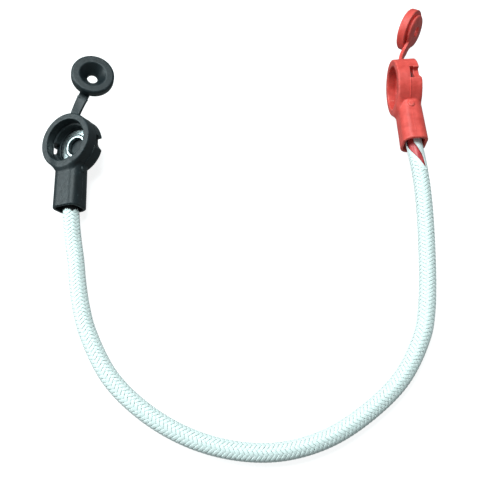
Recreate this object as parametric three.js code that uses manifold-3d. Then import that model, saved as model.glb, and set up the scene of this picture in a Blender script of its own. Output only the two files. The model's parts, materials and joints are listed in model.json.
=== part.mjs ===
// A short battery link lead: a braided cable between two ring lugs, each in a moulded rubber
// boot with a tethered plug cap. Millimetres, +Z up, lying on the plane z = 0.
import * as THREE from 'three'
import { mergeVertices } from 'three/addons/utils/BufferGeometryUtils.js'
import Module from 'manifold-3d'

const wasm = await Module()
wasm.setup()

// ---- driving dimensions, in each boot's own frame: Z out of the cup, -Y towards the cable ----
const GAP = 0.3                 // clearance left between touching pieces
const CUP_R = 14.3              // outside of the round cup
const RIM_Z = 5.6               // open rim of the cup
const CUP_BACK_Z = -5.6         // back of the cup on the strap side
const FOOT_Z = -6.5             // back of the cup on the barrel side
const FOOT_Y = -4.5             // where that starts
const MOUTH_R = 11.0            // bore that takes the cap's brim
const LEDGE_Z = 0.9             // seat of the cap's brim
const WELL_R = 10.0             // bore below the seat
const FLOOR_Z = -2.8            // floor around the lug pocket
const POCKET_R = 9.5            // pocket that holds the lug's ring
const POCKET_Z = -4.95          // inner face of the thin back wall
const BARREL_W = 14.8           // width of the boot's barrel
const BARREL_END = -34.5        // open end of the barrel
const BARREL_TOP = [5.0, 5.7]   // front face of the barrel at the cup and at its open end
const BARREL_BACK = [-6.5, -6.9] // back face of the barrel, likewise
const WALL = 1.6                // side wall of the barrel
const BARREL_CORNER = 4.6       // radius of its long edges
const NOTCH_Y = [-3.2, 2.2]     // side notches, which reach the cup's back edge
const NOTCH_TOP = -0.85
const NOTCH_R = 11.7            // their depth, measured across the cup
const LUG_T = 1.6               // thickness of the lug's ring
const LUG_Z = -4.65             // contact face of the lug
const LUG_R = 9.15
const STUD_R = 4.4              // hole for an 8 mm stud
const TUBE_R = 3.5              // crimp tube
const TUBE_BORE = 2.6
const AXIS_Z = -0.6             // height of the crimp tube's and cable's axis in the barrel
const BRIM_R = 10.5             // plug cap
const BRIM_T = 4.4
const CROWN_R = 8.7
const CROWN_T = 2.6
const VENT_R = 2.6
const STRAP_W = 5.0             // tether strap
const STRAP_T = 1.8
const STRAP_ROOT = new THREE.Vector3(0, 15.6, -0.4)   // where the strap bends at the cup
const STRAP_TIP = new THREE.Vector3(0, 15.6, 6.9)     // where it bends at the closed cap
const SLEEVE_R = 4.0            // braided sleeve
const SLEEVE_BORE = 3.6
const INSULATION_R = 3.15
const CONDUCTOR_R = 2.1

// ---- materials ----
function material(color, roughness, metalness = 0) {
  return new THREE.MeshStandardMaterial({ color, roughness, metalness })
}
const blackRubber = () => material(0x2c3233, 0.55)
const redRubber = () => material(0xd8443c, 0.5)
const tinned = () => material(0xc9cccd, 0.3, 1)
const copper = () => material(0xb8734a, 0.35, 1)
const redPvc = () => material(0xc2352f, 0.4)
const shrinkFilm = () => material(0x17181a, 0.45)
const whiteBraid = () => material(0xe9f2ef, 0.8)

// ---- solids ----
function solid(geometry) {
  const bare = geometry.clone()
  bare.deleteAttribute('normal')
  bare.deleteAttribute('uv')
  const merged = mergeVertices(bare, 1e-4)
  const vertProperties = new Float32Array(merged.attributes.position.array)
  const triVerts = new Uint32Array(merged.index.array)
  return new wasm.Manifold(new wasm.Mesh({ numProp: 3, vertProperties, triVerts }))
}
function geometryOf(shape) {
  const mesh = shape.getMesh()
  const geometry = new THREE.BufferGeometry()
  geometry.setAttribute('position', new THREE.BufferAttribute(mesh.vertProperties.slice(), 3))
  geometry.setIndex(new THREE.BufferAttribute(mesh.triVerts.slice(), 1))
  geometry.computeVertexNormals()
  return geometry
}
function join(...shapes) {
  return shapes.reduce((sum, shape) => sum.add(shape))
}
function cut(shape, ...tools) {
  return tools.reduce((rest, tool) => rest.subtract(tool), shape)
}
// A turned solid about Z from [radius, height] points.
function turned(points, segments = 48) {
  const profile = points.map(([r, z]) => new THREE.Vector2(r, z))
  return solid(new THREE.LatheGeometry(profile, segments).rotateX(Math.PI / 2))
}
function disc(radius, z0, z1, segments = 48) {
  return turned([[0, z0], [radius, z0], [radius, z1], [0, z1]], segments)
}
// A box from its lowest to its highest corner.
function block([x0, y0, z0], [x1, y1, z1]) {
  const box = new THREE.BoxGeometry(x1 - x0, y1 - y0, z1 - z0)
  return solid(box.translate((x0 + x1) / 2, (y0 + y1) / 2, (z0 + z1) / 2))
}
function roundedRectangle(width, height, radius) {
  const x = width / 2
  const y = height / 2
  const shape = new THREE.Shape()
  shape.absarc(x - radius, y - radius, radius, 0, Math.PI / 2)
  shape.absarc(-x + radius, y - radius, radius, Math.PI / 2, Math.PI)
  shape.absarc(-x + radius, -y + radius, radius, Math.PI, 1.5 * Math.PI)
  shape.absarc(x - radius, -y + radius, radius, 1.5 * Math.PI, 2 * Math.PI)
  return shape
}
// A rounded bar along -Y; bottom and top are its heights at the near end and at the far end.
function bar(width, bottom, top, radius, y0, y1) {
  const height = top[1] - bottom[1]
  const shape = roundedRectangle(width, height, radius)
  const geometry = new THREE.ExtrudeGeometry(shape, {
    depth: y0 - y1, steps: 4, bevelEnabled: false, curveSegments: 6,
  })
  geometry.rotateX(Math.PI / 2).translate(0, y0, height / 2)
  const position = geometry.attributes.position
  for (let i = 0; i < position.count; i++) {
    const along = (y0 - position.getY(i)) / (y0 - y1)
    const low = THREE.MathUtils.lerp(...bottom, along)
    const high = THREE.MathUtils.lerp(...top, along)
    position.setZ(i, low + position.getZ(i) * (high - low) / height)
  }
  return solid(geometry)
}
// A flat outline in Y and Z, extruded across X.
function slab(points, width) {
  const shape = new THREE.Shape(points.map(([y, z]) => new THREE.Vector2(y, z)))
  const geometry = new THREE.ExtrudeGeometry(shape, {
    depth: width, bevelEnabled: false, curveSegments: 6,
  })
  return solid(geometry.applyMatrix4(
    new THREE.Matrix4().makeBasis(
      new THREE.Vector3(0, 1, 0), new THREE.Vector3(0, 0, 1), new THREE.Vector3(1, 0, 0),
    ).setPosition(-width / 2, 0, 0),
  ))
}
// A tube along -Y about the crimp axis.
function pipe(outer, inner, y0, y1, segments = 24) {
  const profile = inner > 0
    ? [[inner, -y0], [outer, -y0], [outer, -y1], [inner, -y1], [inner, -y0]]
    : [[0, -y0], [outer, -y0], [outer, -y1], [0, -y1]]
  const shape = new THREE.LatheGeometry(profile.map(([r, y]) => new THREE.Vector2(r, y)), segments)
  return solid(shape.rotateX(Math.PI).translate(0, 0, AXIS_Z))
}

// ---- boot: cup, barrel and moulded details in one piece of rubber ----
function bootShell() {
  const cup = turned([
    [0, CUP_BACK_Z], [CUP_R - 0.8, CUP_BACK_Z], [CUP_R, CUP_BACK_Z + 0.8],
    [CUP_R, RIM_Z - 0.6], [CUP_R - 0.6, RIM_Z], [0, RIM_Z],
  ])
  const foot = disc(CUP_R - 0.3, FOOT_Z, CUP_BACK_Z + 0.9)
    .intersect(block([-CUP_R, -CUP_R, FOOT_Z - 1], [CUP_R, FOOT_Y, 0]))
  const barrel = bar(BARREL_W, BARREL_BACK, BARREL_TOP, BARREL_CORNER, -6, BARREL_END)
  const gateTab = disc(1.7, BARREL_W / 2 - 0.6, BARREL_W / 2 + 0.9, 20)
    .rotate([0, 90, 0]).scale([1, 1.35, 1]).translate([0, -14.9, -0.4])
  const notch = [1, -1].map((side) => {
    const outer = block([NOTCH_R, NOTCH_Y[0], FOOT_Z - 1], [CUP_R + 1, NOTCH_Y[1], NOTCH_TOP])
    const window = block([WELL_R - 1.5, NOTCH_Y[0], FLOOR_Z], [NOTCH_R + 0.2, NOTCH_Y[1], LEDGE_Z])
    return outer.add(window).scale([side, 1, 1])
  })
  const cavity = bar(BARREL_W - 2 * WALL, [-5.0, -5.4], [4.0, 4.2], 3.0, -13.2, BARREL_END - 1)
  return cut(
    join(cup, foot, barrel, gateTab),
    turned([[0, LEDGE_Z], [MOUTH_R, LEDGE_Z], [MOUTH_R, RIM_Z - 0.4],
      [MOUTH_R + 0.6, RIM_Z + 0.2], [MOUTH_R + 0.6, RIM_Z + 1], [0, RIM_Z + 1]]),
    disc(WELL_R, FLOOR_Z, LEDGE_Z + 0.5),
    disc(POCKET_R, POCKET_Z, FLOOR_Z + 0.5),
    block([-4.9, -15, POCKET_Z], [4.9, -7, FLOOR_Z + 0.2]),
    cavity,
    ...notch,
    block([-5.5, -0.2, FOOT_Z], [5.5, 0.2, POCKET_Z + 0.5]),
    block([-0.2, -5.5, FOOT_Z], [0.2, 5.5, POCKET_Z + 0.5]),
  )
}

// ---- ring lug: ring with a swaged rim, tongue and crimp tube ----
function ringLug() {
  const top = LUG_Z + LUG_T
  const ring = turned([
    [STUD_R, LUG_Z], [LUG_R - 0.2, LUG_Z], [LUG_R, LUG_Z + 0.2], [LUG_R, top - 0.2], [LUG_R - 0.2, top],
    [STUD_R + 1.4, top], [STUD_R + 1.0, top + 0.22], [STUD_R + 0.3, top + 0.22],
    [STUD_R, top - 0.1], [STUD_R, LUG_Z],
  ])
  const tongue = block([-4.2, -13.6, LUG_Z], [4.2, -STUD_R - 2, top])
  const neck = block([-3.1, -16.5, LUG_Z], [3.1, -13, top])
  const shoulder = slab([
    [-13.6, LUG_Z + 0.2], [-13.6, top - 0.2], [-16.2, AXIS_Z + 2.6], [-18, AXIS_Z + 2.6],
    [-18, LUG_Z + 0.4],
  ], 5.2)
  const tube = pipe(TUBE_R, 0, -15.6, -26.5)
  const bore = pipe(TUBE_BORE, 0, -16.6, -28)
  return cut(join(ring, tongue, neck, shoulder, tube), bore)
}

// ---- plug cap, drawn pressed home in the cup ----
function plugCap() {
  const face = LEDGE_Z + GAP
  const back = face + BRIM_T
  const top = back + CROWN_T
  const body = turned([
    [6.6, face], [BRIM_R - 0.4, face], [BRIM_R, face + 0.4], [BRIM_R, back - 0.3], [BRIM_R - 0.3, back],
    [CROWN_R - 0.6, back], [CROWN_R - 0.6, back + 0.4], [CROWN_R, back + 0.9], [CROWN_R, top - 0.8],
    [CROWN_R - 0.3, top - 0.25], [CROWN_R - 1.0, top], [5.2, top], [4.6, top - 0.35], [4.1, top - 0.35],
    [3.7, top], [VENT_R + 0.3, top], [VENT_R, top - 0.3], [VENT_R, back + 0.2], [3.4, face + 3.6],
    [4.9, face + 2.5], [6.0, face + 1.2], [6.6, face],
  ])
  const half = STRAP_W / 2
  const low = STRAP_TIP.z - STRAP_T / 2
  const high = STRAP_TIP.z + STRAP_T / 2
  const tab = block([-half, CROWN_R - 1.2, low], [half, STRAP_TIP.y - 1.8, high])
  return join(body, tab)
}

// ---- tether strap, drawn upright beside the cup as it stands when the cap is closed ----
function tetherStrap() {
  const length = STRAP_TIP.distanceTo(STRAP_ROOT)
  const r = STRAP_T / 2
  const side = new THREE.Shape()
  side.absarc(0, 0, r, Math.PI, 2 * Math.PI)
  side.absarc(0, length, r, 0, Math.PI)
  const thick = slab(side.getPoints(6).map((p) => [p.x, p.y]), STRAP_W)
  const w = STRAP_W / 2
  const plan = new THREE.Shape([
    [-r, -r], [r, -r], [w, 1.4], [w, length - 1.4], [r, length + r], [-r, length + r],
    [-w, length - 1.4], [-w, 1.4],
  ].map(([x, y]) => new THREE.Vector2(x, y)))
  const flat = new THREE.ExtrudeGeometry(plan, { depth: 2 * STRAP_T, bevelEnabled: false })
  return thick.intersect(solid(flat.rotateX(Math.PI / 2).translate(0, STRAP_T, 0)))
}

// ---- one end of the lead ----
function named(name, geometry, look) {
  const mesh = new THREE.Mesh(geometry, look)
  mesh.name = name
  return mesh
}
function turnedBack(axis, degrees) {
  const unit = new THREE.Vector3(...axis).normalize()
  return new THREE.Quaternion().setFromAxisAngle(unit, -THREE.MathUtils.degToRad(degrees))
}
const SHELL = geometryOf(bootShell())
const LUG = geometryOf(ringLug())
const SHRINK = geometryOf(pipe(4.1, 3.8, -18.5, -30))
const CAP = geometryOf(plugCap())
const STRAP = geometryOf(tetherStrap())

function leadEnd({ colour, rubber, at, yaw, pitch, roll, bend, fold }) {
  const end = new THREE.Group()
  end.position.set(...at)
  const [x, y, z] = [pitch, roll, yaw].map(THREE.MathUtils.degToRad)
  end.rotation.set(x, y, z, 'ZXY')
  end.add(named(`${colour}_boot`, SHELL.clone(), rubber()))
  end.add(named(`${colour}_ring_lug`, LUG.clone(), tinned()))
  end.add(named(`${colour}_crimp_shrink`, SHRINK.clone(), shrinkFilm()))
  const strap = new THREE.Group()
  strap.position.copy(STRAP_ROOT)
  strap.quaternion.copy(turnedBack(bend.axis, bend.open))
  strap.add(named(`${colour}_strap`, STRAP.clone(), rubber()))
  const cap = new THREE.Group()
  cap.position.subVectors(STRAP_TIP, STRAP_ROOT)
  cap.quaternion.copy(turnedBack(fold.axis, fold.open))
  const plug = named(`${colour}_cap`, CAP.clone(), rubber())
  plug.position.copy(STRAP_TIP).negate()
  cap.add(plug)
  strap.add(cap)
  end.add(strap)
  return end
}

// ---- cable: one route from crimp to crimp, shared by conductor, insulation and sleeve ----
const ROUTE = [
  // inside the black boot, and out of it down to the surface
  [-83.1, -39.3, 9.6], [-83.0, -44.3, 8.9], [-82.8, -48.7, 8.2], [-82.4, -52.7, 7.8], [-81.8, -56.7, 7.2],
  [-80.9, -64.5, 5.6], [-79.4, -73.0, 4.4], [-77.5, -81.5, 4.02],
  // lying loose in a wide U
  [-75.2, -93.5, 4.02], [-72.3, -105.3, 4.02], [-68.2, -117.0, 4.02], [-56.2, -137.7, 4.02],
  [-39.7, -152.8, 4.02], [-20.8, -163.2, 4.02], [-1.1, -168.5, 4.02], [18.2, -168.8, 4.02],
  [37.5, -163.4, 4.02], [55.3, -152.6, 4.02], [71.1, -137.9, 4.02], [82.2, -118.3, 4.02],
  [85.2, -107.3, 4.02], [87.0, -95.6, 4.05],
  // up into the red boot, which stands on its side
  [88.3, -82.0, 4.6], [89.1, -67.0, 6.0], [89.3, -54.5, 7.7], [88.9, -43.0, 9.6], [87.9, -33.0, 11.3],
  [86.8, -23.2, 12.3], [86.4, -19.3, 12.8], [86.2, -15.3, 13.2], [85.9, -10.8, 13.45], [85.7, -5.8, 13.65],
]
const INSULATION_INSET = 10.2   // length of conductor bared at each end
const SLEEVE_INSET = 13.8       // where the sleeve stops, just short of the crimp shrink
const route = new THREE.CatmullRomCurve3(ROUTE.map((p) => new THREE.Vector3(...p)), false, 'centripetal')
route.arcLengthDivisions = 800
class RouteSection extends THREE.Curve {
  constructor(inset) {
    super()
    this.inset = inset / route.getLength()
  }
  getPoint(t, target = new THREE.Vector3()) {
    return route.getPointAt(THREE.MathUtils.lerp(this.inset, 1 - this.inset, t), target)
  }
}
function ringPoints(radius, sides) {
  return Array.from({ length: sides }, (_, i) => {
    const angle = (2 * Math.PI * i) / sides
    return new THREE.Vector2(radius * Math.cos(angle), radius * Math.sin(angle))
  })
}
function cableLayer(outer, inner, inset, sides = 12, steps = 48) {
  const shape = new THREE.Shape(ringPoints(outer, sides))
  if (inner > 0) shape.holes.push(new THREE.Path(ringPoints(inner, sides)))
  const extrudePath = new RouteSection(inset)
  const tube = new THREE.ExtrudeGeometry(shape, { steps, extrudePath, bevelEnabled: false })
  return geometryOf(solid(tube))
}

// The boots lie as they fall: the black one on its back edge, the red one on its side. The strap
// bends at the cup about one axis and at the cap about the other; open is how far each is from shut.
const group = new THREE.Group()
group.add(leadEnd({
  colour: 'black', rubber: blackRubber, at: [-83.9, -22.6, 12.76], yaw: 1.8, pitch: 8.3, roll: -24,
  bend: { axis: [0.926, -0.367, 0.084], open: 91.6 },
  fold: { axis: [0.9755, 0.1803, -0.1262], open: 107.3 },
}))
group.add(leadEnd({
  colour: 'red', rubber: redRubber, at: [84.1, 11.1, 14.375], yaw: 3.2, pitch: 2.4, roll: -91,
  bend: { axis: [0.97, 0.21, -0.122], open: 113.0 },
  fold: { axis: [0.9342, -0.2663, -0.2375], open: 110.9 },
}))
group.add(named('conductor', cableLayer(CONDUCTOR_R, 0, 0, 8), copper()))
group.add(named('core_insulation', cableLayer(INSULATION_R, CONDUCTOR_R + GAP, INSULATION_INSET), redPvc()))
group.add(named('braided_sleeve', cableLayer(SLEEVE_R, SLEEVE_BORE, SLEEVE_INSET), whiteBraid()))

export default group
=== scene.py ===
"""Looks for a short battery link lead: a braided cable between two rubber boots with plug caps.

Shapes are made in millimetres, each in the frame of its own boot or cap, and placed in metres.
"""
import json
import math

import bpy
import numpy as np
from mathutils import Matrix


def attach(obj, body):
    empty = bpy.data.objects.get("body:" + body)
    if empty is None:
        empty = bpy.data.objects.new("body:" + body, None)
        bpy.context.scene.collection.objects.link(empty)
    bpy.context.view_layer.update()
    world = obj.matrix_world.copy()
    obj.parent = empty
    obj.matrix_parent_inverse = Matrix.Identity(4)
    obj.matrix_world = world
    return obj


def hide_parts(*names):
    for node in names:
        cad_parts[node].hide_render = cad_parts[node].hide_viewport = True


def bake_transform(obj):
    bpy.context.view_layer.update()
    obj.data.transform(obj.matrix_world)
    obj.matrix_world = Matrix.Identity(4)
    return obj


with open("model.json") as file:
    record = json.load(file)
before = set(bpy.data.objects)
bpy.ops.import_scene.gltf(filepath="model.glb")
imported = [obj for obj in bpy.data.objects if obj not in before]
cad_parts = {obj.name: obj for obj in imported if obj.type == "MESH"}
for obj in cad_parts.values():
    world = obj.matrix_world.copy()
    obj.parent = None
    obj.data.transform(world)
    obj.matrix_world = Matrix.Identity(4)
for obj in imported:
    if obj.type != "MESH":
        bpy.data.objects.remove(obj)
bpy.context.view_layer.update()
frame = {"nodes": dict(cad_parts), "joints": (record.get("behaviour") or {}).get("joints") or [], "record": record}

import openvdb
from mathutils import Matrix, Vector

RECORD = frame["record"]
MM = 0.001
ENDS = ("black", "red")

# ---- driving dimensions, mm, in a boot's frame: Z out of the cup, -Y towards the cable ----
CUP_R, RIM_Z, CUP_BACK_Z, FOOT_Z = 14.3, 5.6, -5.6, -6.5
MOUTH_R, LEDGE_Z, WELL_R, FLOOR_Z = 11.0, 0.9, 10.0, -2.8
POCKET_R, POCKET_Z = 9.5, -4.95
BARREL_W, BARREL_START, BARREL_END = 14.8, -6.0, -34.5
BARREL_TOP, BARREL_BACK = (5.0, 5.7), (-6.5, -6.9)
BARREL_CORNER, WALL = 4.6, 1.6
NOTCH_Y, NOTCH_TOP = (-3.2, 2.2), -0.85
NOTCH_R, NOTCH_SLOPE, NOTCH_TURN_Y = 11.7, 0.7, -1.2
NOTCH_CEILING = 0.4   # how steeply the notch's top rises inwards
FOOT_RAMP_Y = (-5.2, -1.4)
SHOULDER_Z, SHOULDER_R = (2.6, 4.8), (0.4, 3.2)   # fillet from cup to barrel, larger at the front
CROSS_LONG, CROSS_HALF, CROSS_WEB = 5.5, 0.22, 0.15   # slit in the back wall, and the web left over it
PARTING_Z = -0.4
GATE_Y, GATE_R = -14.9, 1.5
PASSAGE_HALF, PASSAGE_Y = 4.9, (-16, -6)   # way from the lug pocket into the barrel's bore
BORE_START, BORE_TOP_WALL = -13.2, 1.3
LUG_Z, LUG_T, LUG_R, STUD_R = -4.65, 1.6, 9.15, 4.4
LUG_END = -26.5
TUBE_R, TUBE_BORE, AXIS_Z = 3.5, 2.6, -0.6
CAP_FACE, BRIM_R, BRIM_T, CROWN_R, CROWN_T, VENT_R = 1.2, 10.75, 4.4, 8.7, 2.6, 2.6
RECESS_R, RECESS_DEPTH = 6.6, 4.7
STRAP_W, STRAP_T = 5.0, 1.8
STRAP_DROOP = {"black": 0.6, "red": 1.1}
STRAP_ROOT, STRAP_TIP = Vector((0, 15.6, -0.4)), Vector((0, 15.6, 6.9))
SLEEVE_R, INSULATION_R = 4.0, 3.15


# ======== camera, light and floor ========
COOL_WHITE = (0.86, 0.98, 1.0)


def make_camera():
    data = bpy.data.cameras.new("camera")
    data.sensor_width, data.lens = 36.0, 45.9
    camera = bpy.data.objects.new("camera", data)
    camera.location = (0.00486, -0.2038, 0.2791)
    target = Vector((0.00486, -0.0749, 0.0))
    camera.rotation_euler = (target - camera.location).to_track_quat("-Z", "Y").to_euler()
    bpy.context.scene.collection.objects.link(camera)
    bpy.context.scene.camera = camera


def softbox(name, place, aim, size, power):
    data = bpy.data.lights.new(name, "AREA")
    data.shape, data.size, data.size_y, data.energy = "RECTANGLE", size[0], size[1], power
    data.color = COOL_WHITE
    light = bpy.data.objects.new(name, data)
    light.location = place
    light.rotation_euler = (Vector(aim) - Vector(place)).to_track_quat("-Z", "Y").to_euler()
    bpy.context.scene.collection.objects.link(light)


def make_studio():
    scene = bpy.context.scene
    scene.view_settings.view_transform = "Standard"
    scene.view_settings.look = "None"
    world = bpy.data.worlds.new("studio")
    world.use_nodes = True
    background = world.node_tree.nodes["Background"]
    background.inputs["Color"].default_value = (*COOL_WHITE, 1)
    background.inputs["Strength"].default_value = 0.27
    scene.world = world
    softbox("overhead", (-0.10, 0.14, 0.62), (0, -0.06, 0), (0.36, 0.3), 3.8)
    softbox("left_side", (-0.62, 0.06, 0.40), (0, -0.02, 0), (0.4, 0.3), 3.4)
    mesh = bpy.data.meshes.new("floor")
    half = 3.0
    corners = [(-half, -half, 0), (half, -half, 0), (half, half, 0), (-half, half, 0)]
    mesh.from_pydata(corners, [], [(0, 1, 2, 3)])
    floor = bpy.data.objects.new("floor", mesh)
    floor.location.z = -0.0002
    scene.collection.objects.link(floor)
    floor.visible_glossy = floor.visible_diffuse = False
    material, _, shader = new_material("pale_floor")
    shader.inputs["Base Color"].default_value = (0.4, 0.4, 0.4, 1)
    shader.inputs["Roughness"].default_value = 0.9
    shader.inputs["Specular IOR Level"].default_value = 0.1
    shader.inputs["Emission Color"].default_value = (1.0, 1.0, 1.0, 1)
    shader.inputs["Emission Strength"].default_value = 0.84
    mesh.materials.append(material)


# ======== materials ========
RUBBER_ROUGHNESS = 0.42


def new_material(name):
    material = bpy.data.materials.new(name)
    material.use_nodes = True
    tree = material.node_tree
    return material, tree, tree.nodes["Principled BSDF"]


def node(tree, kind, **settings):
    made = tree.nodes.new(kind)
    for key, value in settings.items():
        if key in made.inputs:
            made.inputs[key].default_value = value
        else:
            setattr(made, key, value)
    return made


def noise(tree, scale, detail=3.0, roughness=0.5):
    """A noise of that many cells a metre, in the object's own space."""
    place = node(tree, "ShaderNodeTexCoord")
    made = node(tree, "ShaderNodeTexNoise", Scale=scale, Detail=detail, Roughness=roughness)
    tree.links.new(place.outputs["Object"], made.inputs["Vector"])
    return made.outputs["Fac"]


def ramp(tree, fac, stops):
    """A colour ramp from (position, colour) stops."""
    made = node(tree, "ShaderNodeValToRGB")
    elements = made.color_ramp.elements
    while len(elements) < len(stops):
        elements.new(0.5)
    for element, (position, colour) in zip(elements, stops):
        element.position = position
        element.color = (*colour, 1)
    tree.links.new(fac, made.inputs["Fac"])
    return made.outputs["Color"]


def spread(tree, fac, low, high):
    """Maps a 0 to 1 value onto low to high."""
    made = node(tree, "ShaderNodeMapRange")
    made.inputs["To Min"].default_value, made.inputs["To Max"].default_value = low, high
    tree.links.new(fac, made.inputs["Value"])
    return made.outputs["Result"]


def mix(tree, fac, a, b, blend_type="MIX"):
    made = node(tree, "ShaderNodeMix", data_type="RGBA", blend_type=blend_type)
    if isinstance(fac, float):
        made.inputs["Factor"].default_value = fac
    else:
        tree.links.new(fac, made.inputs["Factor"])
    tree.links.new(a, made.inputs["A"])
    tree.links.new(b, made.inputs["B"])
    return made.outputs["Result"]


def bump(tree, shader, layers):
    """Stacks (height, depth in metres) layers into the shader's normal."""
    previous = None
    for height, depth in layers:
        made = node(tree, "ShaderNodeBump", Strength=1.0, Distance=depth)
        tree.links.new(height, made.inputs["Height"])
        if previous is not None:
            tree.links.new(previous, made.inputs["Normal"])
        previous = made.outputs["Normal"]
    tree.links.new(previous, shader.inputs["Normal"])


def rubber(name, dark, body, worn):
    """Satin moulded rubber: fine spark texture, soft mottling, paler worn edges and a little dust."""
    material, tree, shader = new_material(name)
    mottled = ramp(tree, noise(tree, 260, 4.0), [(0.3, dark), (0.7, body)])
    edges = node(tree, "ShaderNodeNewGeometry").outputs["Pointiness"]
    edge = ramp(tree, edges, [(0.5, (0, 0, 0)), (0.58, (1, 1, 1))])
    patches = ramp(tree, noise(tree, 900, 3.0), [(0.4, (0, 0, 0)), (0.7, (1, 1, 1))])
    patchy = mix(tree, 1.0, edge, patches, "MULTIPLY")
    pale = node(tree, "ShaderNodeRGB")
    pale.outputs[0].default_value = (*worn, 1)
    tree.links.new(mix(tree, patchy, mottled, pale.outputs[0]), shader.inputs["Base Color"])
    varied = spread(tree, noise(tree, 700, 3.0), RUBBER_ROUGHNESS - 0.07, RUBBER_ROUGHNESS + 0.07)
    tree.links.new(varied, shader.inputs["Roughness"])
    shader.inputs["Specular IOR Level"].default_value = 0.36
    bump(tree, shader, [(noise(tree, 5200, 2.0), 0.00003), (noise(tree, 420, 2.0), 0.00008)])
    return material


def tinned_copper():
    material, tree, shader = new_material("tinned_copper")
    tone = ramp(tree, noise(tree, 500, 5.0), [(0.3, (0.42, 0.5, 0.5)), (0.7, (0.62, 0.7, 0.7))])
    tree.links.new(tone, shader.inputs["Base Color"])
    shader.inputs["Metallic"].default_value = 1.0
    tree.links.new(spread(tree, noise(tree, 1500, 4.0), 0.18, 0.42), shader.inputs["Roughness"])
    bump(tree, shader, [(noise(tree, 2600, 3.0), 0.00002)])
    return material


def braid_yarn():
    """White polyester yarn with fine filaments, faintly greenish in its depths."""
    material, tree, shader = new_material("white_braid")
    tone = ramp(tree, noise(tree, 900, 4.0), [(0.25, (0.79, 0.93, 0.89)), (0.7, (0.90, 0.985, 0.955))])
    tree.links.new(tone, shader.inputs["Base Color"])
    shader.inputs["Roughness"].default_value = 0.5
    shader.inputs["Sheen Weight"].default_value = 0.25
    shader.inputs["Subsurface Weight"].default_value = 0.15
    shader.inputs["Subsurface Radius"].default_value = (0.001, 0.001, 0.001)
    shader.inputs["Subsurface Scale"].default_value = 0.6
    bump(tree, shader, [(noise(tree, 6000, 2.0), 0.00002)])
    return material


def insulation():
    material, tree, shader = new_material("core_insulation")
    tone = ramp(tree, noise(tree, 350, 3.0), [(0.3, (0.5, 0.04, 0.045)), (0.7, (0.68, 0.085, 0.09))])
    tree.links.new(tone, shader.inputs["Base Color"])
    tree.links.new(spread(tree, noise(tree, 900), 0.3, 0.45), shader.inputs["Roughness"])
    bump(tree, shader, [(noise(tree, 800, 2.0), 0.00006)])
    return material


def shrink_film():
    # black film for the crimp shrink inside the boots, also used as painted shade over the core at the black
    # boot's mouth
    material, tree, shader = new_material("shrink_film")
    tone = ramp(tree, noise(tree, 500), [(0.3, (0.014, 0.015, 0.016)), (0.7, (0.03, 0.031, 0.033))])
    tree.links.new(tone, shader.inputs["Base Color"])
    shader.inputs["Roughness"].default_value = 0.45
    bump(tree, shader, [(noise(tree, 900, 3.0), 0.0001)])
    return material


def stranded_copper():
    material, tree, shader = new_material("stranded_copper")
    tone = ramp(tree, noise(tree, 2500), [(0.3, (0.6, 0.27, 0.16)), (0.7, (0.8, 0.42, 0.27))])
    tree.links.new(tone, shader.inputs["Base Color"])
    shader.inputs["Metallic"].default_value = 1.0
    shader.inputs["Roughness"].default_value = 0.35
    bump(tree, shader, [(noise(tree, 3000), 0.0001)])
    return material


# ======== solids from distance functions ========
def fillet_join(a, b, r):
    """Union of two distances with a round fillet of radius r in the corner."""
    both = np.hypot(np.maximum(r - a, 0), np.maximum(r - b, 0))
    return np.maximum(np.minimum(a, b), r) - both


def round_meet(a, b, r):
    """Intersection of two distances with its edge rounded by r."""
    return -fillet_join(-a, -b, r)


def round_cut(a, b, r):
    """a without b, its new edges rounded by r."""
    return round_meet(a, -b, r)


def rounded(x, y, half_x, half_y, r):
    """Distance to a rectangle about the origin with corners of radius r."""
    qx, qy = np.abs(x) - half_x + r, np.abs(y) - half_y + r
    return np.hypot(np.maximum(qx, 0), np.maximum(qy, 0)) + np.minimum(np.maximum(qx, qy), 0) - r


def drum(x, y, z, radius, low, high, edge):
    """Distance to a cylinder about Z with rounded rims."""
    across = np.hypot(x, y)
    return rounded(across, z - (low + high) / 2, radius, (high - low) / 2, edge)


def brick(x, y, z, low, high, edge):
    """Distance to a box with rounded edges."""
    centre, half = (np.array(low) + high) / 2, (np.array(high) - low) / 2 - edge
    q = [np.abs(v - c) - h for v, c, h in zip((x, y, z), centre, half)]
    outside = np.sqrt(sum(np.maximum(v, 0) ** 2 for v in q))
    return outside + np.minimum(np.maximum(np.maximum(q[0], q[1]), q[2]), 0) - edge


def slope(distance, points, step=0.02):
    """Gradient of a distance function at points."""
    sides = []
    for axis in range(3):
        shift = np.zeros(3)
        shift[axis] = step
        sides.append((distance(*(points + shift).T) - distance(*(points - shift).T)) / (2 * step))
    return np.stack(sides, 1)


def skin(distance, low, high, step):
    """Vertices and faces of the surface where the distance is zero."""
    low, high = np.array(low, float) - 2 * step, np.array(high, float) + 2 * step
    axes = [np.arange(a, b, step) for a, b in zip(low, high)]
    values = distance(*np.meshgrid(*axes, indexing="ij"))
    grid = openvdb.FloatGrid(background=float(values.max()))
    grid.copyFromArray(np.ascontiguousarray(values, np.float32))
    points, quads = grid.convertToQuads(0.0)
    points = points.astype(float) * step + low
    for _ in range(4):
        normal = slope(distance, points)
        size = np.maximum((normal ** 2).sum(1), 0.2)
        points -= (np.clip(distance(*points.T), -step, step) / size)[:, None] * normal
    a, b, c = (points[quads[:, i]] for i in (0, 1, 2))
    facing = (np.cross(b - a, c - a) * slope(distance, a)).sum()
    return points, quads if facing > 0 else quads[:, ::-1]


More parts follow.
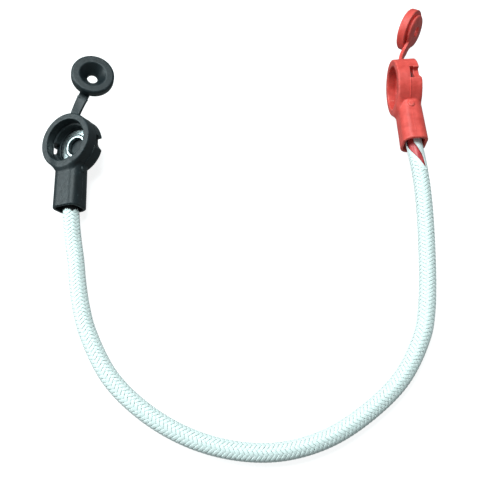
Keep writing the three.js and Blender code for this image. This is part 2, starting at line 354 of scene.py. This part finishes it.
def make_piece(name, points, faces, matrix, material, smooth_angle=50):
    """A named mesh from millimetre points in a local frame."""
    mesh = bpy.data.meshes.new(name)
    placed = np.asarray(points) * MM @ np.array(matrix.to_3x3()).T + np.array(matrix.translation)
    mesh.from_pydata(placed.tolist(), [], [list(map(int, f)) for f in faces])
    mesh.materials.append(material)
    mesh.shade_smooth()
    if smooth_angle < 180:
        mesh.set_sharp_from_angle(angle=math.radians(smooth_angle))
    mesh.update()
    piece = bpy.data.objects.new(name, mesh)
    bpy.context.scene.collection.objects.link(piece)
    return piece


# ======== where each end lies ========
def named(rows, name):
    return next(row for row in rows if row["name"] == name)


def boot_frame(colour):
    """The boot's frame, from its lug's face and the strap's hinge."""
    face = named(RECORD["mounts"], f"{colour}_lug_face")
    root = Vector(named(frame["joints"], f"{colour}_strap_bend")["pos_m"])
    z = Vector(face["axis"]).normalized()
    y = root - Vector(face["pos_m"])
    y = (y - z * y.dot(z)).normalized()
    origin = root - y * STRAP_ROOT.y * MM - z * STRAP_ROOT.z * MM
    x = y.cross(z)
    return Matrix.Translation(origin) @ Matrix((x, y, z)).transposed().to_4x4()


def opened(joint, degrees):
    """The move that takes a body from a joint's closed place back to rest."""
    pivot = Vector(joint["pos_m"])
    turn = Matrix.Rotation(math.radians(-degrees), 4, Vector(joint["axis"]))
    return Matrix.Translation(pivot) @ turn @ Matrix.Translation(-pivot)


def end_frames(colour):
    """The frames of the boot, strap and cap at rest: all three agree when the cap is shut."""
    bend = named(frame["joints"], f"{colour}_strap_bend")
    fold = named(frame["joints"], f"{colour}_cap_fold")
    shut = bend["range_deg"][1]
    couplings = RECORD["behaviour"]["couplings"]
    ratio = next(c["ratio"] for c in couplings if c["joint"] == fold["name"])
    boot = boot_frame(colour)
    strap = opened(bend, shut) @ boot
    cap = opened(fold, shut * ratio) @ strap
    return boot, strap, cap


# ======== boot ========
def boot_distance(x, y, z):
    """Distance to one boot: cup, foot and barrel, hollowed by mouth, well, lug pocket and bore."""
    span = (-BARREL_START, -BARREL_END)
    top, back = np.interp(-y, span, BARREL_TOP), np.interp(-y, span, BARREL_BACK)
    barrel = rounded(x, z - (top + back) / 2, BARREL_W / 2, (top - back) / 2, BARREL_CORNER)
    barrel = round_meet(barrel, np.maximum(BARREL_END - y, y - BARREL_START), 0.8)
    cup = drum(x, y, z, CUP_R, CUP_BACK_Z, RIM_Z, 0.7)
    foot = drum(x, y, z, CUP_R - 0.1, FOOT_Z, CUP_BACK_Z + 1.2, 0.7)
    ramp_z = np.interp(y, FOOT_RAMP_Y, (FOOT_Z, CUP_BACK_Z + 0.2))
    foot = round_meet(foot, (ramp_z - z) * 0.96, 0.3)
    shoulder = np.interp(z, SHOULDER_Z, SHOULDER_R)
    body = fillet_join(fillet_join(cup, foot, 0.3), barrel, shoulder)
    half_w = BARREL_W / 2
    tab = drum(z - PARTING_Z, (y - GATE_Y) / 1.2, x, GATE_R, half_w - 1, half_w + 0.7, 0.35)
    body = fillet_join(body, tab, 0.35)
    mouth = drum(x, y, z, MOUTH_R, LEDGE_Z, RIM_Z + 4, 0.35)
    well = drum(x, y, z, WELL_R, FLOOR_Z, LEDGE_Z + 3, 0.35)
    pocket = drum(x, y, z, POCKET_R, POCKET_Z, FLOOR_Z + 3, 0.3)
    passage = brick(x, y, z, (-PASSAGE_HALF, PASSAGE_Y[0], POCKET_Z),
                    (PASSAGE_HALF, PASSAGE_Y[1], FLOOR_Z + 0.3), 0.5)
    top, back = top - BORE_TOP_WALL, back + WALL
    middle, half = (top + back) / 2, (top - back) / 2
    bore = rounded(x, z - middle, half_w - WALL, half, BARREL_CORNER - WALL)
    bore = round_meet(bore, np.maximum(BARREL_END - 6 - y, y - BORE_START), 1.0)
    for hollow, edge in ((mouth, 0.45), (well, 0.25), (pocket, 0.25), (passage, 0.25), (bore, 0.4)):
        body = round_cut(body, hollow, edge)
    side = np.abs(x)
    low, high = NOTCH_Y
    ceiling = (z - NOTCH_TOP - (CUP_R - side) * NOTCH_CEILING) * 0.93
    outer = brick(side, y, z, (NOTCH_R, low - 9, FOOT_Z - 4), (CUP_R + 4, high, LEDGE_Z + 1), 0.25)
    runout = (NOTCH_TURN_Y - y - (side - NOTCH_R) / NOTCH_SLOPE) * 0.57
    outer = round_meet(outer, runout, 0.8)
    window = brick(side, y, z, (WELL_R - 2.0, low - 0.5, FLOOR_Z),
                   (CUP_R + 4, high + 0.4, LEDGE_Z + 1), 0.25)
    for opening in (outer, window):
        body = round_cut(body, round_meet(opening, ceiling, 0.15), 0.2)
    cross = np.minimum(
        brick(x, y, z, (-CROSS_LONG, -CROSS_HALF, FOOT_Z - 1),
              (CROSS_LONG, CROSS_HALF, POCKET_Z - CROSS_WEB), 0.1),
        brick(x, y, z, (-CROSS_HALF, -CROSS_LONG, FOOT_Z - 1),
              (CROSS_HALF, CROSS_LONG, POCKET_Z - CROSS_WEB), 0.1),
    )
    return round_cut(body, cross, 0.1)


def bead(path, outward, radius, sink):
    """A fine half-round flash line along a path of points, with the outward direction at each."""
    path, outward = np.array(path, float), np.array(outward, float)
    along = np.gradient(path, axis=0)
    along /= np.linalg.norm(along, axis=1)[:, None]
    across = np.cross(along, outward)
    sides = 8
    fade = np.minimum(1, np.minimum(np.arange(len(path)), np.arange(len(path))[::-1]) / 3)
    rings = []
    for k in range(sides):
        turn = 2 * math.pi * k / sides
        spoke = math.cos(turn) * across + math.sin(turn) * outward
        rings.append(path - sink * outward + spoke * (radius * (0.15 + 0.85 * fade))[:, None])
    points = np.stack(rings, 1).reshape(-1, 3)
    faces = tube_faces(len(path), sides)
    return points, faces


def tube_faces(rings, sides):
    """Faces of a tube of rings, closed at both ends."""
    faces = []
    for i in range(rings - 1):
        for k in range(sides):
            a, b = i * sides + k, i * sides + (k + 1) % sides
            faces.append((a, b, b + sides, a + sides))
    faces.append(tuple(range(sides))[::-1])
    faces.append(tuple((rings - 1) * sides + k for k in range(sides)))
    return faces


def merged(*solids):
    """Several (points, faces) as one."""
    points, faces, count = [], [], 0
    for p, f in solids:
        points.append(np.asarray(p, float))
        faces += [tuple(int(i) + count for i in face) for face in f]
        count += len(p)
    return np.concatenate(points), faces


def round_cup(side, turns):
    """Points round the cup's wall at the parting line, and the outward direction at each."""
    outward = np.stack([side * np.cos(turns), np.sin(turns), 0 * turns], 1)
    return outward * CUP_R + (0, 0, PARTING_Z), outward


def parting_lines():
    """Flash where the mould halves met: round the cup on both sides of each notch, and down the barrel."""
    lines = []
    for side in (1, -1):
        start, end = math.asin(NOTCH_Y[0] / CUP_R), -math.acos((BARREL_W / 2) / CUP_R)
        lines.append(bead(*round_cup(side, np.linspace(start - 0.02, end, 24)), 0.34, 0.02))
        run = np.linspace(GATE_Y - 2.4, BARREL_END + 1.2, 30)
        straight = np.stack([0 * run + side * BARREL_W / 2, run, 0 * run + PARTING_Z], 1)
        lines.append(bead(straight, np.tile((side, 0, 0), (len(run), 1)), 0.22, 0.12))
        upper = np.linspace(math.asin(NOTCH_Y[1] / CUP_R) + 0.02, math.radians(78), 40)
        lines.append(bead(*round_cup(side, upper), 0.22, 0.12))
    return lines


def make_boots(frames, rubbers):
    shell = skin(boot_distance, (-CUP_R, BARREL_END, FOOT_Z), (CUP_R, CUP_R, RIM_Z), 0.3)
    points, faces = merged(shell, *parting_lines())
    for colour in ENDS:
        piece = make_piece(f"{colour}_boot_shell", points, faces, frames[colour][0],
                           rubbers[colour])
        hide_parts(f"{colour}_boot")
        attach(piece, "lead")


# ======== ring lug ========
def lug_distance(x, y, z):
    """Distance to a ring lug: ring, tongue, neck and the crimped tube behind it."""
    top = LUG_Z + LUG_T
    across = np.hypot(x, y)
    ring = drum(x, y, z, LUG_R, LUG_Z, top, 0.25)
    tongue = brick(x, y, z, (-4.2, -13.6, LUG_Z), (4.2, -STUD_R - 1, top), 0.3)
    neck = brick(x, y, z, (-3.1, -17, LUG_Z + 0.1), (3.1, -12, top), 0.3)
    plate = fillet_join(fillet_join(ring, tongue, 1.2), neck, 0.5)
    swage = rounded(across - (STUD_R + 0.85), z - top, 0.85, 0.5, 0.45)
    plate = fillet_join(plate, swage, 0.2)
    from_axis = np.hypot(x, z - AXIS_Z)
    tube = round_meet(from_axis - TUBE_R, np.maximum(y + 15.6, LUG_END - y), 0.3)
    rise = (z - LUG_Z - 0.4) - (-13.8 - y) * 1.35
    shoulder = np.maximum(np.maximum(rise, np.abs(x) - 2.6), np.maximum(y + 13.4, -18 - y))
    shoulder = np.maximum(np.maximum(shoulder, LUG_Z + 0.3 - z), z - AXIS_Z - 2.6)
    body = fillet_join(fillet_join(plate, tube, 0.8), shoulder, 0.3)
    body = round_cut(body, across - STUD_R, 0.3)
    bore = np.maximum(from_axis - TUBE_BORE, y + 16.6)
    crimp = rounded(y + 22, z - AXIS_Z - TUBE_R, 1.6, 0.6, 0.4)
    return round_cut(round_cut(body, bore, 0.2), np.maximum(crimp, np.abs(x) - 2.2), 0.3)


def make_lugs(frames, metal):
    low, high = (-LUG_R, LUG_END, LUG_Z), (LUG_R, LUG_R, AXIS_Z + TUBE_R)
    points, faces = skin(lug_distance, low, high, 0.22)
    for colour in ENDS:
        piece = make_piece(f"{colour}_lug", points, faces, frames[colour][0], metal)
        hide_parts(f"{colour}_ring_lug")
        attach(piece, "lead")


# ======== plug cap ========
def cap_distance(x, y, z):
    """Distance to a plug cap, in the boot's frame as it sits when shut."""
    back = CAP_FACE + BRIM_T
    top = back + CROWN_T
    across = np.hypot(x, y)
    brim = drum(x, y, z, BRIM_R, CAP_FACE, back, 0.5)
    brim = round_meet(brim, (across - BRIM_R + CAP_FACE + 0.7 - z) * 0.71, 0.25)
    neck = drum(x, y, z, CROWN_R - 0.9, back - 1, top - 1, 0.2)
    crown = drum(x, y, z, CROWN_R, back + 0.6, top, 0.95)
    dome = (z - top + 0.020 * np.maximum(across - 2, 0) ** 2) * 0.96
    crown = round_meet(crown, dome, 0.9)
    body = fillet_join(fillet_join(brim, neck, 0.1), crown, 0.1)
    tab = brick(x, y, z, (-STRAP_W / 2, 6.0, STRAP_TIP.z - STRAP_T / 2),
                (STRAP_W / 2, STRAP_TIP.y - 2.2, STRAP_TIP.z + STRAP_T / 2), 0.4)
    body = fillet_join(body, tab, 0.5)
    depth = z - CAP_FACE
    slant = (across - RECESS_R) * 0.78 + depth * 0.62
    cone = np.maximum(slant, depth - RECESS_DEPTH)
    body = round_cut(body, np.maximum(cone, -depth - 3), 0.3)
    return round_cut(body, across - VENT_R, 0.3)


def make_caps(frames, rubbers):
    low = (-BRIM_R, -BRIM_R, CAP_FACE)
    high = (BRIM_R, STRAP_TIP.y - 2, CAP_FACE + BRIM_T + CROWN_T)
    points, faces = skin(cap_distance, low, high, 0.25)
    for colour in ENDS:
        piece = make_piece(f"{colour}_plug_cap", points, faces, frames[colour][2],
                           rubbers[colour])
        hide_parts(f"{colour}_cap")
        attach(piece, f"{colour}_plug")


def hermite(a, b, from_a, to_b, t):
    """Points on a smooth curve from a to b with those end directions."""
    t = t[:, None]
    return ((2 * t**3 - 3 * t**2 + 1) * a + (t**3 - 2 * t**2 + t) * from_a
            + (-2 * t**3 + 3 * t**2) * b + (t**3 - t**2) * to_b)


def strap_rings(boot, strap, cap, droop):
    """Rings of the strap's section from inside the cup's wall to the cap's tab, in metres.

    A larger droop keeps it straight for longer where it leaves the cup.
    """
    wall = boot @ (Vector((0, CUP_R - 0.9, STRAP_ROOT.z)) * MM)
    tab = cap @ (Vector((0, STRAP_TIP.y - 3.4, STRAP_TIP.z)) * MM)
    out_of_wall = boot.to_3x3() @ Vector((0, 1, 0))
    into_cap = cap.to_3x3() @ Vector((0, -1, 0))
    steps = 48
    t = np.linspace(0, 1, steps + 1)
    reach = (tab - wall).length
    line = hermite(np.array(wall), np.array(tab), np.array(out_of_wall) * reach * droop,
                   np.array(into_cap) * reach * 0.5, t)
    along = np.gradient(line, axis=0)
    along /= np.linalg.norm(along, axis=1)[:, None]
    start, middle, end = (np.array(m.to_3x3() @ Vector((1, 0, 0))) for m in (boot, strap, cap))
    rings = []
    for i, s in enumerate(t):
        side = start * (1 - s) ** 2 + 2 * middle * s * (1 - s) + end * s**2
        side -= along[i] * (side @ along[i])
        side /= np.linalg.norm(side)
        up = np.cross(side, along[i])
        flare = 1 + 0.14 * math.exp(-s * 9) + 0.12 * math.exp(-(1 - s) * 6)
        rings.append([line[i] + side * x * MM + up * z * MM for x, z in strap_section(flare)])
    return t, line, np.array(rings)


def strap_section(flare):
    """The strap's rounded flat section, wider where it joins."""
    half_w, half_t, corner, steps = STRAP_W / 2 * flare, STRAP_T / 2, 0.5, 4
    section = []
    for cx, cz, first in ((1, 1, 0), (-1, 1, 90), (-1, -1, 180), (1, -1, 270)):
        for turn in np.radians(np.linspace(first, first + 90, steps + 1)):
            section.append((cx * (half_w - corner) + corner * math.cos(turn),
                            cz * (half_t - corner) + corner * math.sin(turn)))
    return section


def make_straps(frames, rubbers):
    """Root, middle and tip of each strap: the root and tip stay where they are made, the middle rides the strap.
    """
    for colour in ENDS:
        boot, strap, cap = frames[colour]
        t, line, rings = strap_rings(boot, strap, cap, STRAP_DROOP[colour])
        sides = rings.shape[1]
        third = len(t) // 3
        spans = (("root", 0, third), ("middle", third, 2 * third), ("tip", 2 * third, len(t) - 1))
        for part, first, last in spans:
            points = rings[first:last + 1].reshape(-1, 3) / MM
            piece = make_piece(f"{colour}_strap_{part}", points, tube_faces(last - first + 1, sides),
                               Matrix.Identity(4), rubbers[colour], 60)
            if part == "root":
                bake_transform(piece)
            elif part == "middle":
                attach(piece, f"{colour}_tether")
                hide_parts(f"{colour}_strap")
            else:
                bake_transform(piece)


# ======== cable ========
# The cable's route, crimp to crimp, as in the CAD model, in metres.
ROUTE = [
    # inside the black boot, and out of it down to the surface
    (-0.0831, -0.0393, 0.0096), (-0.0830, -0.0443, 0.0089), (-0.0828, -0.0487, 0.0082),
    (-0.0824, -0.0527, 0.0078), (-0.0818, -0.0567, 0.0072), (-0.0809, -0.0645, 0.0056),
    (-0.0794, -0.0730, 0.0044), (-0.0775, -0.0815, 0.00402),
    # lying loose in a wide U
    (-0.0752, -0.0935, 0.00402), (-0.0723, -0.1053, 0.00402), (-0.0682, -0.1170, 0.00402),
    (-0.0562, -0.1377, 0.00402), (-0.0397, -0.1528, 0.00402), (-0.0208, -0.1632, 0.00402),
    (-0.0011, -0.1685, 0.00402), (0.0182, -0.1688, 0.00402), (0.0375, -0.1634, 0.00402),
    (0.0553, -0.1526, 0.00402), (0.0711, -0.1379, 0.00402), (0.0822, -0.1183, 0.00402),
    (0.0852, -0.1073, 0.00402), (0.0870, -0.0956, 0.00405),
    # up into the red boot, which stands on its side
    (0.0883, -0.0820, 0.0046), (0.0891, -0.0670, 0.0060), (0.0893, -0.0545, 0.0077),
    (0.0889, -0.0430, 0.0096), (0.0879, -0.0330, 0.0113), (0.0868, -0.0232, 0.0123),
    (0.0864, -0.0193, 0.0128), (0.0862, -0.0153, 0.0132), (0.0859, -0.0108, 0.01345),
    (0.0857, -0.0058, 0.01365),
]
INSULATION_INSET, SLEEVE_INSET = 10.2, 13.8
SLEEVE_GAP = 1.3      # how far outside the black boot the sleeve starts
SHADE_WRAP_T = 0.22         # thickness of the black layer over the core there, painted shade for the gap at the boot's mouth
CARRIERS, LEAD_MM = 8, 15.5
YARN_W, YARN_T = 1.5, 0.34
CUT_JITTER = 0.45     # how unevenly the yarns are cut at the black end
SLIT_LONG = 14.2      # slit in the sleeve at the red end: its length, then turns round the cable
SLIT_MIDDLE = (math.radians(-50), math.radians(-2), math.radians(34))
SLIT_HALF = (math.radians(36), math.radians(28), math.radians(12), 0.0)
SLIT_HEM = math.radians(14)
HEM_T = 0.32


def route_curve(points, per_span=60):
    """Centripetal Catmull-Rom curve through the points, finely sampled."""
    p = np.array(points)
    p = np.vstack([2 * p[0] - p[1], p, 2 * p[-1] - p[-2]])
    out = []
    for i in range(1, len(p) - 2):
        a, b, c, d = p[i - 1:i + 3]
        ta, tb, tc = (math.sqrt(np.linalg.norm(v - u)) for u, v in ((a, b), (b, c), (c, d)))
        from_b = ((b - a) / ta - (c - a) / (ta + tb) + (c - b) / tb) * tb
        to_c = ((c - b) / tb - (d - b) / (tb + tc) + (d - c) / tc) * tb
        out.append(hermite(b, c, from_b, to_c, np.arange(per_span) / per_span))
    return np.vstack([*out, p[-2:-1]])


class Cable:
    """The cable's centreline by length, with an upright frame at each point."""

    def __init__(self):
        line = route_curve(ROUTE) / MM
        at = np.concatenate([[0], np.cumsum(np.linalg.norm(np.diff(line, axis=0), axis=1))])
        self.length = at[-1]
        self.s = np.linspace(0, self.length, 2001)
        self.line = np.stack([np.interp(self.s, at, line[:, k]) for k in range(3)], 1)
        along = np.gradient(self.line, axis=0)
        self.along = along / np.linalg.norm(along, axis=1)[:, None]
        up = np.array((0, 0, 1)) - self.along * self.along[:, 2:]
        self.up = up / np.linalg.norm(up, axis=1)[:, None]
        self.side = np.cross(self.along, self.up)

    def place(self, s, turn, radius):
        """Points at lengths s, turned from the top towards the side, that far from the centre."""
        def at(table):
            return np.stack([np.interp(s, self.s, table[:, k]) for k in range(3)], -1)
        spoke = np.cos(turn)[..., None] * at(self.up) + np.sin(turn)[..., None] * at(self.side)
        return at(self.line) + spoke * np.asarray(radius)[..., None]

    def length_at(self, point):
        """The length along the cable nearest a point, in mm."""
        return self.s[np.argmin(np.linalg.norm(self.line - np.array(point) / MM, axis=1))]


def slit(s, mouth, tip, middle, half):
    """How far each length is into the slit, and the slit's middle and half width there."""
    share = np.clip((mouth - s) / (mouth - tip), 0, 1)
    centre = np.interp(share, (0, 0.5, 1), middle)
    width = np.interp(share, (0, 0.5, 0.9, 1), half)
    return np.where((s > tip) & (s < mouth + 40), width, 0), centre


def yarn(cable, direction, index, s0, s1, gap):
    """One flat yarn of the braid, over two and under two, cut where the sleeve is slit."""
    step = LEAD_MM / (2 * CARRIERS) / 4
    s = np.arange(s0 + CUT_JITTER * math.sin(2.4 * index + direction), s1, step)
    turn = 2 * math.pi * (direction * s / LEAD_MM + index / CARRIERS)
    middle_r = SLEEVE_R - YARN_T - 0.02   # between the yarns that pass over and those under
    slant = math.atan2(2 * math.pi * middle_r, LEAD_MM)
    lateral = np.array([-1, -0.86, -0.5, -0.17, 0.17, 0.5, 0.86, 1, 0.6, -0.6]) * YARN_W / 2
    height = np.array([0, 0.32, 0.46, 0.42, 0.46, 0.5, 0.32, 0, -0.42, -0.42]) * YARN_T
    sv = s[:, None] + lateral * math.sin(slant)
    tv = turn[:, None] - direction * lateral * math.cos(slant) / middle_r
    other = CARRIERS * (tv / (2 * math.pi) + direction * sv / LEAD_MM)
    wave = np.cos(math.pi / 2 * (index + other - 0.5)) * direction
    over = np.tanh(2.2 * wave) / math.tanh(2.2)
    radius = middle_r + YARN_T / 2 * over + height
    points = cable.place(sv, tv, radius)
    keep = ~gap(s, turn)
    solids, sides = [], len(lateral)
    edges = np.flatnonzero(np.diff(np.concatenate([[0], keep.astype(int), [0]])))
    for first, last in zip(edges[::2], edges[1::2]):
        if last - first > 3:
            solids.append((points[first:last].reshape(-1, 3), tube_faces(last - first, sides)))
    return solids


def make_tube(name, cable, s, radius, sides, material):
    """A plain round tube about the cable's centreline, with a ring at each length in s."""
    turns = np.linspace(0, 2 * math.pi, sides, endpoint=False)
    lengths, angles = np.repeat(s[:, None], sides, 1), np.tile(turns, (len(s), 1))
    rings = cable.place(lengths, angles, np.full((len(s), sides), radius))
    return make_piece(name, rings.reshape(-1, 3), tube_faces(len(s), sides), Matrix.Identity(4),
                      material)


def make_cable(frames, looks):
    cable = Cable()
    mouths = [frames[colour][0] @ (Vector((0, BARREL_END, AXIS_Z)) * MM) for colour in ENDS]
    exit_s, mouth = (cable.length_at(point) for point in mouths)
    s0, s1 = exit_s + SLEEVE_GAP, cable.length - SLEEVE_INSET
    tip = mouth - SLIT_LONG

    def gap(s, turn):
        half, centre = slit(s, mouth, tip, SLIT_MIDDLE, SLIT_HALF)
        away = (turn - centre + math.pi) % (2 * math.pi) - math.pi
        return (np.abs(away) < half + SLIT_HEM) & (half > 0)

    for direction, lay in ((1, "right"), (-1, "left")):
        for part in (0, 1):
            solids = []
            for index in range(part * CARRIERS // 2, (part + 1) * CARRIERS // 2):
                solids += yarn(cable, direction, index, s0, s1, gap)
            points, faces = merged(*solids)
            piece = make_piece(f"braid_{lay}_{part + 1}", points, faces, Matrix.Identity(4),
                               looks["braid"], 180)
            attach(piece, "lead")
    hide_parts("braided_sleeve")

    s = np.linspace(INSULATION_INSET, cable.length - INSULATION_INSET, 500)
    core = make_tube("cable_core", cable, s, INSULATION_R, 24, looks["insulation"])
    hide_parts("core_insulation")
    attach(core, "lead")
    # black layer over the core just outside the black boot: painted shade for the shadowed gap there
    shrink_and_shade_wrap = make_shade_wrap(cable, s0, looks["shrink_and_shade_wrap"])
    flap = make_flap(cable, mouth, tip, looks["braid"])
    path_s = np.linspace(s0, s1, 300)
    path = cable.place(path_s, np.zeros(300), np.zeros(300)) * MM


def make_shade_wrap(cable, sleeve_start, material):
    """Black layer over the core at the black end, from the crimp to just under the sleeve: painted shade where the
    gap at the black boot's mouth lies in shadow.
    """
    s = np.linspace(SLEEVE_INSET, sleeve_start + 2.0, 40)
    piece = make_tube("black_core_shade_wrap", cable, s, INSULATION_R + SHADE_WRAP_T, 32, material)
    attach(piece, "lead")
    return piece


def make_flap(cable, mouth, tip, material):
    """The sleeve's cut edges beside the slit: a broad fused flap on one side, a narrow lip on the other."""
    made = []
    for name, side, widths, lift in (("flap", 1, (80, 56, 34), 0.3), ("lip", -1, (26, 26, 30), 0.25)):
        long = np.linspace(tip - 0.6, mouth + 4, 40)
        half, centre = slit(long, mouth, tip, SLIT_MIDDLE, SLIT_HALF)
        share = np.clip((mouth - long) / (mouth - tip), 0, 1)
        width = np.radians(np.interp(share, (0, 0.5, 1), widths))
        across = np.linspace(0, 1, 9)
        inner_edge = centre + side * (half - math.radians(3))
        turn = inner_edge[:, None] + side * width[:, None] * across
        rise = SLEEVE_R + 0.02 + lift * (1 - across) ** 2 * np.minimum(1, share[:, None] * 3 + 0.4)
        s = np.repeat(long[:, None], len(across), 1)
        top = cable.place(s, turn, rise + 0 * s)
        bottom = cable.place(s, turn, rise - HEM_T + 0 * s)
        ring = np.concatenate([top, bottom[:, ::-1]], 1)
        points, faces = ring.reshape(-1, 3), tube_faces(len(long), 2 * len(across))
        piece = make_piece(f"sleeve_{name}", points, faces, Matrix.Identity(4), material, 60)
        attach(piece, "lead")
        made.append(piece)
    return made


# ======== everything ========
def main():
    make_camera()
    make_studio()
    rubbers = {
        "black": rubber("black_rubber", (0.0065, 0.0115, 0.0135), (0.012, 0.020, 0.0235),
                        (0.05, 0.075, 0.08)),
        "red": rubber("red_rubber", (0.64, 0.06, 0.046), (0.86, 0.105, 0.084), (0.92, 0.26, 0.22)),
    }
    # the dark crimp-shrink material also serves as painted shade over the core at the black boot's mouth
    looks = {"braid": braid_yarn(), "insulation": insulation(), "shrink_and_shade_wrap": shrink_film()}
    frames = {colour: end_frames(colour) for colour in ENDS}
    make_cable(frames, looks)
    make_boots(frames, rubbers)
    make_lugs(frames, tinned_copper())
    make_caps(frames, rubbers)
    make_straps(frames, rubbers)
    for colour in ENDS:
        dress(frame["nodes"][f"{colour}_crimp_shrink"], looks["shrink_and_shade_wrap"])
    dress(frame["nodes"]["conductor"], stranded_copper())


def dress(cad_node, material):
    cad_node.data.materials.clear()
    cad_node.data.materials.append(material)


main()
